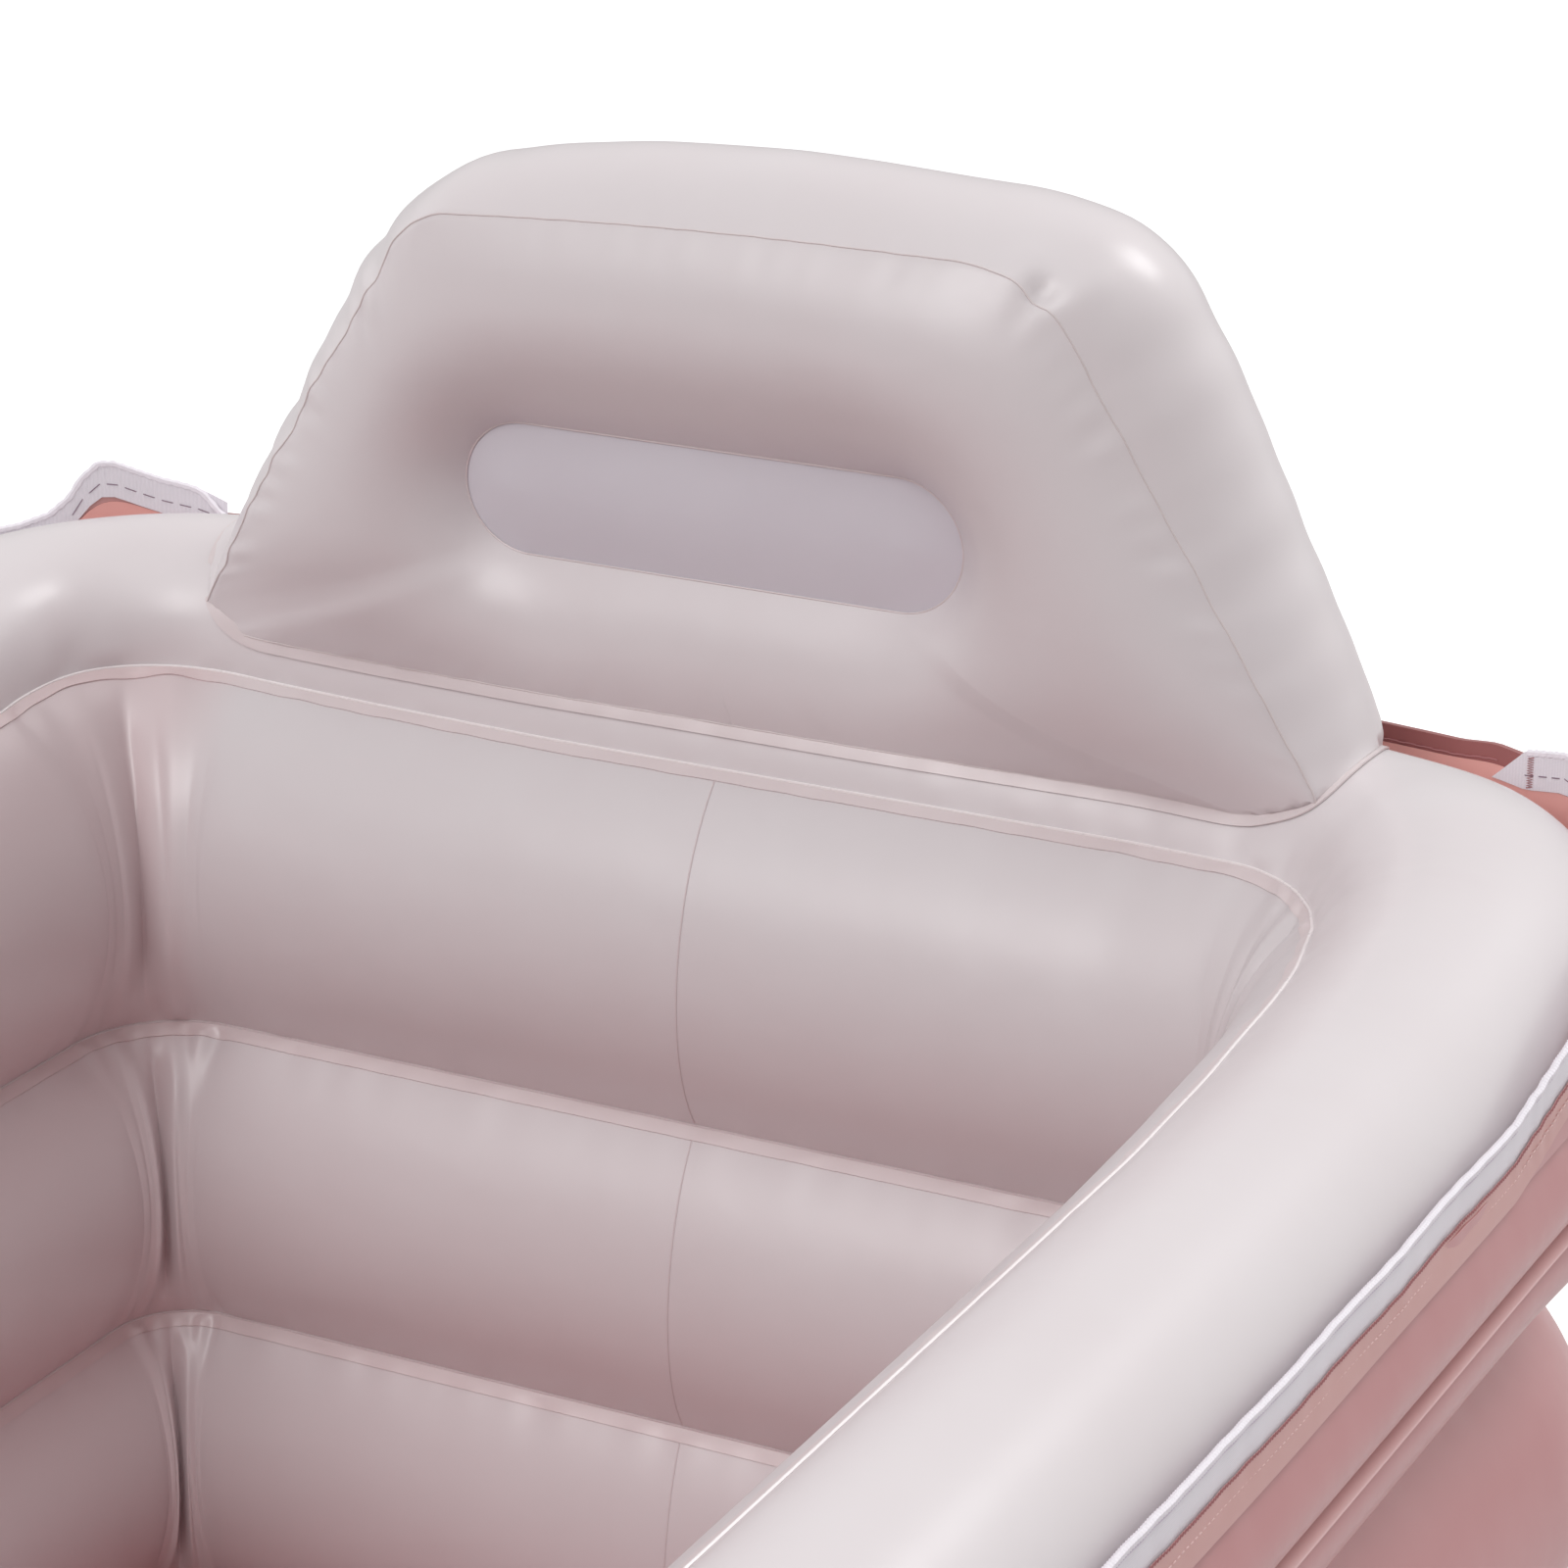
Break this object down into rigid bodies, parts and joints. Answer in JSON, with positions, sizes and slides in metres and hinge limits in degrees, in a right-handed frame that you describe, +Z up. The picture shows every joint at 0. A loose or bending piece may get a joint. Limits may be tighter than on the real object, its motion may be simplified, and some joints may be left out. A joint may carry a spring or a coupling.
{
  "type": "inflatable bathtub",
  "caption": "Rectangular inflatable bathtub of stacked welded air rings, with an air headrest, half of a zip round the rim, air valves and a floor drain with hinged caps.",
  "frame": {"origin": "on the floor, under the middle of the whole tub", "axes": "+Z up, +Y along the tub towards the headrest end, +X across the tub to the bather's left when leaning on the headrest"},
  "size_m": [0.8044, 1.6049, 0.6649],
  "materials": {
    "pearl_pvc": "pearl satin",
    "pink_pvc": "pearl satin",
    "hem_pvc": "satin",
    "zip_polyester": "woven",
    "moulded_pvc": "satin",
    "flap_rubber": "matt"
  },
  "bodies": {
    "tub": {"base_sheet": "pink_pvc", "inner_wall_bottom": "pearl_pvc", "inner_wall_middle": "pearl_pvc", "inner_wall_top": "pearl_pvc", "outer_wall_lower": "pink_pvc", "outer_wall_middle": "pink_pvc", "outer_wall_upper": "pink_pvc", "partition_lower": "pearl_pvc", "partition_upper": "pearl_pvc", "deck_panel": "pearl_pvc", "skirt_band": "pink_pvc", "rear_hem": "hem_pvc", "zip_tape": "zip_polyester", "zip_coil": "zip_polyester", "headrest_base": "pearl_pvc", "headrest_front": "pearl_pvc", "headrest_rear": "pearl_pvc", "headrest_gusset": "pearl_pvc", "headrest_tie": "pearl_pvc", "recess_front": "pearl_pvc", "recess_rear": "pearl_pvc", "lower_valve_base": "moulded_pvc", "lower_valve_seat": "moulded_pvc", "lower_valve_flap": "flap_rubber", "middle_valve_base": "moulded_pvc", "middle_valve_seat": "moulded_pvc", "middle_valve_flap": "flap_rubber", "upper_valve_base": "moulded_pvc", "upper_valve_seat": "moulded_pvc", "upper_valve_flap": "flap_rubber", "headrest_valve_base": "moulded_pvc", "headrest_valve_seat": "moulded_pvc", "headrest_valve_flap": "flap_rubber", "drain_base": "moulded_pvc"},
    "lower_cap": {"lower_valve_cap": "moulded_pvc"},
    "middle_cap": {"middle_valve_cap": "moulded_pvc"},
    "upper_cap": {"upper_valve_cap": "moulded_pvc"},
    "headrest_cap": {"headrest_valve_cap": "moulded_pvc"},
    "floor_cap": {"drain_cap": "moulded_pvc"}
  },
  "joints": [
    {"name": "lower_cap_hinge", "type": "hinge", "parent": "tub", "child": "lower_cap", "pos_m": [0.1401, -0.7891, 0.06638], "axis": [0, 0, -1], "range_deg": [0, 140]},
    {"name": "middle_cap_hinge", "type": "hinge", "parent": "tub", "child": "middle_cap", "pos_m": [0.1401, -0.7891, 0.1985], "axis": [0, 0, -1], "range_deg": [0, 140]},
    {"name": "upper_cap_hinge", "type": "hinge", "parent": "tub", "child": "upper_cap", "pos_m": [0.1401, -0.79301, 0.32128], "axis": [0, 0.2835, -0.959], "range_deg": [0, 140]},
    {"name": "headrest_cap_hinge", "type": "hinge", "parent": "tub", "child": "headrest_cap", "pos_m": [-0.0199, 0.79114, 0.59486], "axis": [0, -0.0698, 0.9976], "range_deg": [0, 140]},
    {"name": "drain_cap_hinge", "type": "hinge", "parent": "tub", "child": "floor_cap", "pos_m": [-0.0269, -0.54005, 0.003], "axis": [0, -1, 0], "range_deg": [0, 140]}
  ]
}
